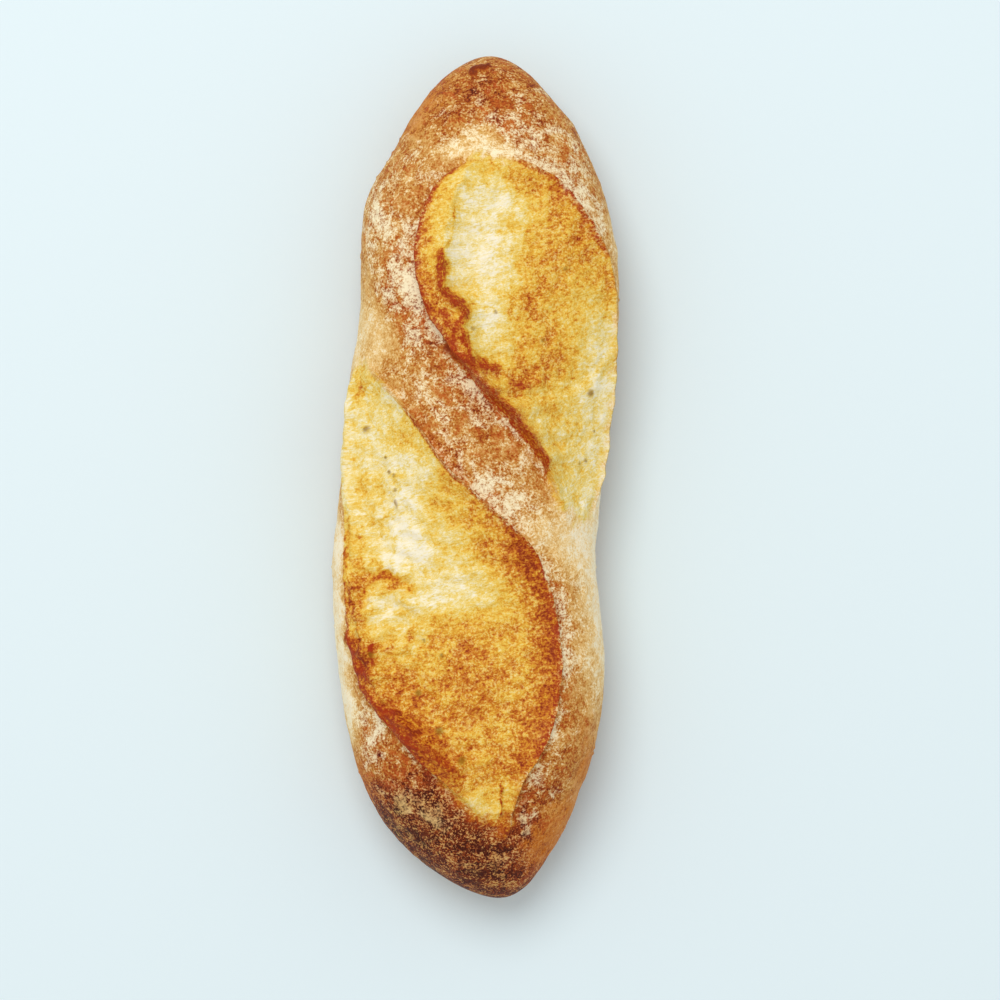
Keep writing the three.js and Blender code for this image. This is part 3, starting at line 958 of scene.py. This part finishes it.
# The crumb's fibres run slantwise across the openings, nearly three times as long as they are wide. The arc
# and the run that place them are in millimetres already.
FIBRE_SQUEEZE = 0.38
FIBRE_SLANT = 0.25
CURD_SIZE = 1.1
fibre_place = bench.node(
    "ShaderNodeCombineXYZ",
    inputs={0: arc_wire * FIBRE_SQUEEZE, 1: run_wire - arc_wire * FIBRE_SLANT, 2: 0.0},
)
speck = grain(size=0.58, detail=2.0, roughness=0.75)
fleck = grain(size=1.3, detail=2.5)
clump = grain(size=3.4, detail=5.0, distortion=0.6)
cloud = grain(size=6.0, detail=4.0, distortion=0.8)
fibre = grain(size=0.6, detail=3.0, vector=fibre_place, unit_length=1.0, distortion=1.0)
curds = bench.node(
    "ShaderNodeTexVoronoi", {"feature": "SMOOTH_F1"},
    {"Vector": place, "Scale": 1 / (CURD_SIZE * MM), "Smoothness": 0.25, "Randomness": 1.0},
)

# Every stored distance wanders with the grain before it is cut off, so that no edge looks drawn.
speck_sway, fleck_sway, clump_sway, cloud_sway = (grains - 0.5 for grains in (speck, fleck, clump, cloud))
wander = fleck_sway * 2.0 + speck_sway * 0.8
soft_depth = depth_in + wander * 0.5 + clump_sway * 3.0 * edge_soft
bare_crumb = soft_depth.between(edge_soft * -0.5, edge_soft * 0.5)
# The steps under the ears and the creases are darkened as charred crust with painted shade.
ear_step_char_and_shade = 1 - (wall_at + clump_sway * 0.9 + wander * 0.25).between(0.7, 1.2)
crease_char_and_shade = 1 - (crease_at + clump_sway * 2.5 + wander * 0.4).between(0.4, 2.1)
torn = 1 - (tear_at + clump_sway * 3.0 + wander * 0.5).between(0.2, 1.6)
scored = 1 - (mark_at + clump_sway * 2.2 + wander * 0.45).between(0.2, 1.4)
# The pores are darkened as painted shade.
pore_shadow = 1 - (pore_at + wander * 0.3).between(0.3, 1.15)

# The crumb bakes on towards these levels in its tears and marks, and darkens towards them in the steps under
# its ears and in its creases as charred crust with painted shade. The shares are how much of a tint shows.
WALL_CHAR_AND_SHADE = 0.86
CREASE_CHAR_AND_SHADE = 0.84
BURNT_BAKE = 0.93
HUSK_SHARE = 0.45
CHAR_AND_SHADE_SHARE = 0.75
PORE_SHADOW_SHARE = 0.8
burnt = torn.larger(scored)
crumb_baked = baked.toward(WALL_CHAR_AND_SHADE, ear_step_char_and_shade * 0.9).toward(CREASE_CHAR_AND_SHADE, crease_char_and_shade * 0.8)
crumb_baked = crumb_baked.toward(BURNT_BAKE, burnt * 0.85)
grit = speck_sway * 0.85 + fleck_sway * 0.6 + (curds - 0.42) * 0.2
streaks = (fibre - 0.5) * (0.9 - crumb_baked * 0.6) + clump_sway * 0.2
crumb_level = crumb_baked + grit * (0.34 + crumb_baked * 1.05) + streaks
crumb_colour = bench.node("ShaderNodeValToRGB", {"stops": CRUMB_STOPS}, {0: crumb_level})
# Pale husks show in crumb that is golden, neither cream nor chestnut.
husks = (1 - speck - fleck_sway * 0.5).between(0.50, 0.66) * baked.between(0.34, 0.60)
husks = husks * (1 - baked.between(0.58, 0.76))
# The darkest red is charred crust on the tears and marks, and charred crust with painted shade in the ear
# steps and the creases.
darkest_char_and_shade = burnt.larger(ear_step_char_and_shade).larger(crease_char_and_shade * 0.7) * crumb_level.between(0.6, 1.0)
crumb_colour = crumb_colour.tint(husks * (1 - burnt) * HUSK_SHARE, PALE_HUSK)
crumb_colour = crumb_colour.tint(darkest_char_and_shade * CHAR_AND_SHADE_SHARE, CHAR_AND_SHADE_RED)
# Painted shade in the pores.
crumb_colour = crumb_colour.tint(pore_shadow * PORE_SHADOW_SHARE, PORE_SHADOW_BROWN)

# The crust reddens in clouds where it is well browned, and its orange patches are mottled too.
SCORED_BAKE = 0.9
ORANGE_SHARE = 0.7
skin_grit = clump_sway * 1.3 + fleck_sway * 0.9 + speck_sway * 1.8
skin_level = (baked + skin_grit * (0.30 + baked * 0.65)).toward(SCORED_BAKE, scored * 0.9)
skin_colour = bench.node("ShaderNodeValToRGB", {"stops": SKIN_STOPS}, {0: skin_level})
reddened = (cloud + fleck_sway * 0.6).between(0.50, 0.68) * baked.between(0.3, 0.6)
reddened = reddened * (0.5 - baked.between(0.7, 0.9) * 0.35)
orange_crust = (oranged - skin_grit * 0.9 - cloud_sway * 1.8).between(0.15, 1.3)
skin_colour = skin_colour.tint(reddened, RUSSET).tint(orange_crust * ORANGE_SHARE, ORANGE_CRUST)

# Flour lies in clusters, with single grains on the darkest crust. It toasts where the crust is dark.
clustered = (dusted - skin_grit * 0.75 - cloud_sway * 1.6).between(0.30, 0.92)
single_grains = (1 - speck - clump_sway * 0.5).between(0.53, 0.66) * baked.between(0.6, 0.9) * 0.62
dust = (clustered * 0.9).larger(single_grains) * (1 - bare_crumb * 0.94) * (1 - scored)
toasting = baked.between(0.5, 0.95)
flour_colour = bench.node(
    "ShaderNodeMix", {"data_type": "RGBA"}, {0: toasting, 6: FLOUR_WHITE, 7: TOASTED_FLOUR}, output=2)

CRUST_ROUGHNESS = 0.62
CRUST_IOR = 1.4
CRUST_SHINE = 0.2
GRAIN_DEPTH = 0.4
GRAIN_STRENGTH = 0.9
base_colour = skin_colour.tint(bare_crumb, crumb_colour).tint(dust, flour_colour)
roughness = CRUST_ROUGHNESS + dust * 0.3 - bare_crumb * 0.06
crust_height = (speck * 0.5 + fleck * 0.5) * (1 - bare_crumb)
crumb_height = (fibre * 0.5 + speck * 0.4 + curds * 0.3) * bare_crumb
height = crust_height + crumb_height
bump = bench.node(
    "ShaderNodeBump",
    inputs={"Strength": GRAIN_STRENGTH, "Distance": GRAIN_DEPTH * MM, "Height": height},
)
surface = bench.node(
    "ShaderNodeBsdfPrincipled",
    inputs={"Base Color": base_colour, "Roughness": roughness, "Normal": bump, "IOR": CRUST_IOR,
            "Specular IOR Level": CRUST_SHINE},
)
bench.node("ShaderNodeOutputMaterial", inputs={"Surface": surface})
mesh.materials.append(material)

# ---- The table, the light and the camera ----
# A plain pale table under a large soft lamp at the upper left, with even light from all round.
# The camera looks straight down, and frames the loaf a little above and left of the picture's middle.

TABLE_COLOUR = paint(225, 239, 242)
TABLE_ROUGHNESS = 0.9
TABLE_REACH = 4.0
table_mesh = bpy.data.meshes.new("table")
table_corners = [(TABLE_REACH * a, TABLE_REACH * b, 0) for a, b in ((-1, -1), (1, -1), (1, 1), (-1, 1))]
table_mesh.from_pydata(table_corners, [], [(0, 1, 2, 3)])
table = bpy.data.objects.new("table", table_mesh)
table_material = bpy.data.materials.new("pale_table")
table_material.use_nodes = True
table_paint = table_material.node_tree.nodes["Principled BSDF"]
table_paint.inputs["Base Color"].default_value = TABLE_COLOUR
table_paint.inputs["Roughness"].default_value = TABLE_ROUGHNESS
table_mesh.materials.append(table_material)
bpy.context.scene.collection.objects.link(table)

LAMP_WAY = Vector((-0.18, 0.45, 1.0)).normalized()
LAMP_DISTANCE = 1.7
LAMP_SIZE = 1.06
LAMP_WATTS = 13.4
lamp_data = bpy.data.lights.new("soft_lamp", "AREA")
lamp_data.shape = "DISK"
lamp_data.size = LAMP_SIZE
lamp_data.energy = LAMP_WATTS
lamp = bpy.data.objects.new("soft_lamp", lamp_data)
lamp.location = LAMP_WAY * LAMP_DISTANCE
lamp.rotation_euler = (-LAMP_WAY).to_track_quat("-Z", "Y").to_euler()
bpy.context.scene.collection.objects.link(lamp)

ROOM_COLOUR = (0.985, 0.995, 1.01, 1)
ROOM_STRENGTH = 0.66
world = bpy.data.worlds.new("studio")
world.use_nodes = True
room_light = world.node_tree.nodes["Background"]
room_light.inputs["Color"].default_value = ROOM_COLOUR
room_light.inputs["Strength"].default_value = ROOM_STRENGTH
bpy.context.scene.world = world
bpy.context.scene.view_settings.view_transform = "Standard"

PICTURE_PIXELS = 1000
LOAF_PIXELS = 844
LOAF_CENTRE_PIXEL = (475.5, 477)
LOAF_LENGTH = 0.230
CAMERA_HEIGHT = 1.22
FOCUS_HEIGHT = 0.020
SENSOR_WIDTH = 36
pixel = LOAF_LENGTH / LOAF_PIXELS
camera_data = bpy.data.cameras.new("camera")
camera_data.sensor_width = SENSOR_WIDTH
camera_data.lens = SENSOR_WIDTH * (CAMERA_HEIGHT - FOCUS_HEIGHT) / (PICTURE_PIXELS * pixel)
camera = bpy.data.objects.new("camera", camera_data)
camera.location = (
    (PICTURE_PIXELS / 2 - LOAF_CENTRE_PIXEL[0]) * pixel,
    (LOAF_CENTRE_PIXEL[1] - PICTURE_PIXELS / 2) * pixel,
    CAMERA_HEIGHT,
)
bpy.context.scene.collection.objects.link(camera)
bpy.context.scene.camera = camera
